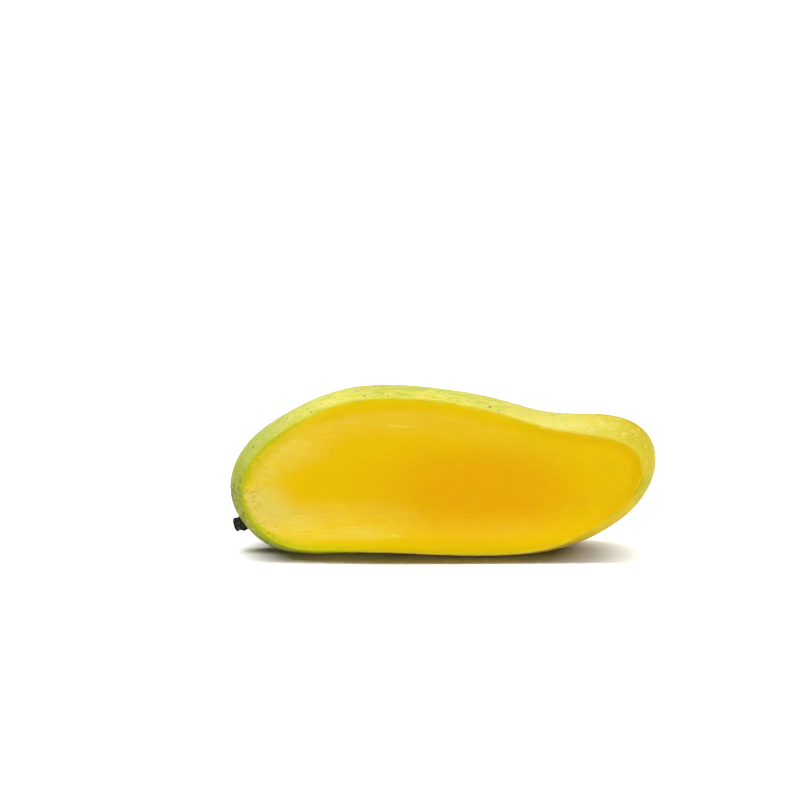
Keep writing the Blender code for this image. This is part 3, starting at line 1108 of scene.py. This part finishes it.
def soft_sun(name, strength, spread, travel, receivers, color=(1, 1, 1), bounces=None):
    """A distant light as wide as its spread, which lights the receivers alone."""
    data = bpy.data.lights.new(name, "SUN")
    data.energy = strength
    data.angle = spread
    data.color = color
    place_light(data, (0, 0, 0), travel, receivers, bounces)


def long_lamp(name, strength, stage, receivers=None, bounces=None):
    """A lamp as long as a wall, which softens the shadow's ends and keeps its front edge crisp."""
    data = bpy.data.lights.new(name, "AREA")
    data.shape = "RECTANGLE"
    data.size = stage.lamp_length
    data.size_y = stage.lamp_width
    data.energy = strength * math.pi * stage.lamp_height**2
    location = Vector(LAMP_PLACE) * stage.lamp_height
    place_light(data, location, (0, -location.y, -location.z), receivers, bounces)


def build_lights(stage):
    """A long lamp above and behind, three lights for the floor alone and two for the fruit alone."""
    build_world(stage)
    floor = bpy.data.objects["floor"]
    fruit = [piece for piece in bpy.data.objects if piece.type == "MESH" and piece != floor]
    long_lamp("key", stage.key, stage)
    long_lamp("floor_key", stage.floor_key, stage, [floor])
    long_lamp("floor_glow", stage.floor_glow, stage, [floor], bounces=0)
    soft_sun("front_fill", stage.front_fill, stage.fill_spread, (0.04, 1, -0.06), fruit)
    soft_sun("back_fill", stage.back_fill, stage.fill_spread, (0.25, -0.85, -0.45), fruit)
    view_line = (0, math.cos(stage.elevation), -math.sin(stage.elevation))
    soft_sun("floor_fill", stage.floor_fill, stage.floor_fill_spread, view_line, [floor], WARM, bounces=0)
    view = bpy.context.scene.view_settings
    view.view_transform = "Standard"
    view.look = "None"


# Operators and panel

class MANGO_OT_peel(bpy.types.Operator):
    """Make the peel"""
    bl_idname = "mango.peel"
    bl_label = "Peel"

    def execute(self, context):
        build_peel(context.scene.mango_sizes, context.scene.mango_colors)
        return {"FINISHED"}


class MANGO_OT_flesh(bpy.types.Operator):
    """Make the flesh with its cut face"""
    bl_idname = "mango.flesh"
    bl_label = "Flesh"

    def execute(self, context):
        build_flesh(context.scene.mango_sizes, context.scene.mango_colors)
        return {"FINISHED"}


class MANGO_OT_dots(bpy.types.Operator):
    """Scatter the dots over the skin"""
    bl_idname = "mango.dots"
    bl_label = "Dots"

    def execute(self, context):
        build_dots(context.scene.mango_sizes, context.scene.mango_colors)
        return {"FINISHED"}


class MANGO_OT_stem(bpy.types.Operator):
    """Make the stub of the stem"""
    bl_idname = "mango.stem"
    bl_label = "Stem"

    def execute(self, context):
        build_stem(context.scene.mango_colors)
        return {"FINISHED"}


class MANGO_OT_stage(bpy.types.Operator):
    """Make the floor, the lights and the camera"""
    bl_idname = "mango.stage"
    bl_label = "Stage"

    def execute(self, context):
        build_floor(context.scene.mango_stage, context.scene.mango_colors)
        build_camera(context.scene.mango_stage)
        build_lights(context.scene.mango_stage)
        return {"FINISHED"}


class MANGO_PT_panel(bpy.types.Panel):
    """Lists the steps that make the mango"""
    bl_label = "Cut mango"
    bl_idname = "MANGO_PT_panel"
    bl_space_type = "VIEW_3D"
    bl_region_type = "UI"
    bl_category = "Mango"

    def draw(self, context):
        for step in (MANGO_OT_peel, MANGO_OT_flesh, MANGO_OT_dots, MANGO_OT_stem, MANGO_OT_stage):
            self.layout.operator(step.bl_idname)
        for setting in SETTINGS:
            group = getattr(context.scene, setting)
            box = self.layout.box()
            for name in group.bl_rna.properties.keys():
                if name not in ("rna_type", "name"):
                    box.prop(group, name, text=name.replace("_", " ").capitalize())


CLASSES = (MangoSizes, MangoColors, MangoStage, MANGO_OT_peel, MANGO_OT_flesh, MANGO_OT_dots,
           MANGO_OT_stem, MANGO_OT_stage, MANGO_PT_panel)
SETTINGS = {"mango_sizes": MangoSizes, "mango_colors": MangoColors, "mango_stage": MangoStage}


def register():
    for item in CLASSES:
        bpy.utils.register_class(item)
    for name, group in SETTINGS.items():
        setattr(bpy.types.Scene, name, PointerProperty(type=group))


def unregister():
    for name in SETTINGS:
        delattr(bpy.types.Scene, name)
    for item in reversed(CLASSES):
        bpy.utils.unregister_class(item)


def main():
    register()
    bpy.ops.mango.peel()
    bpy.ops.mango.flesh()
    bpy.ops.mango.dots()
    bpy.ops.mango.stem()
    bpy.ops.mango.stage()


if __name__ == "__main__":
    main()
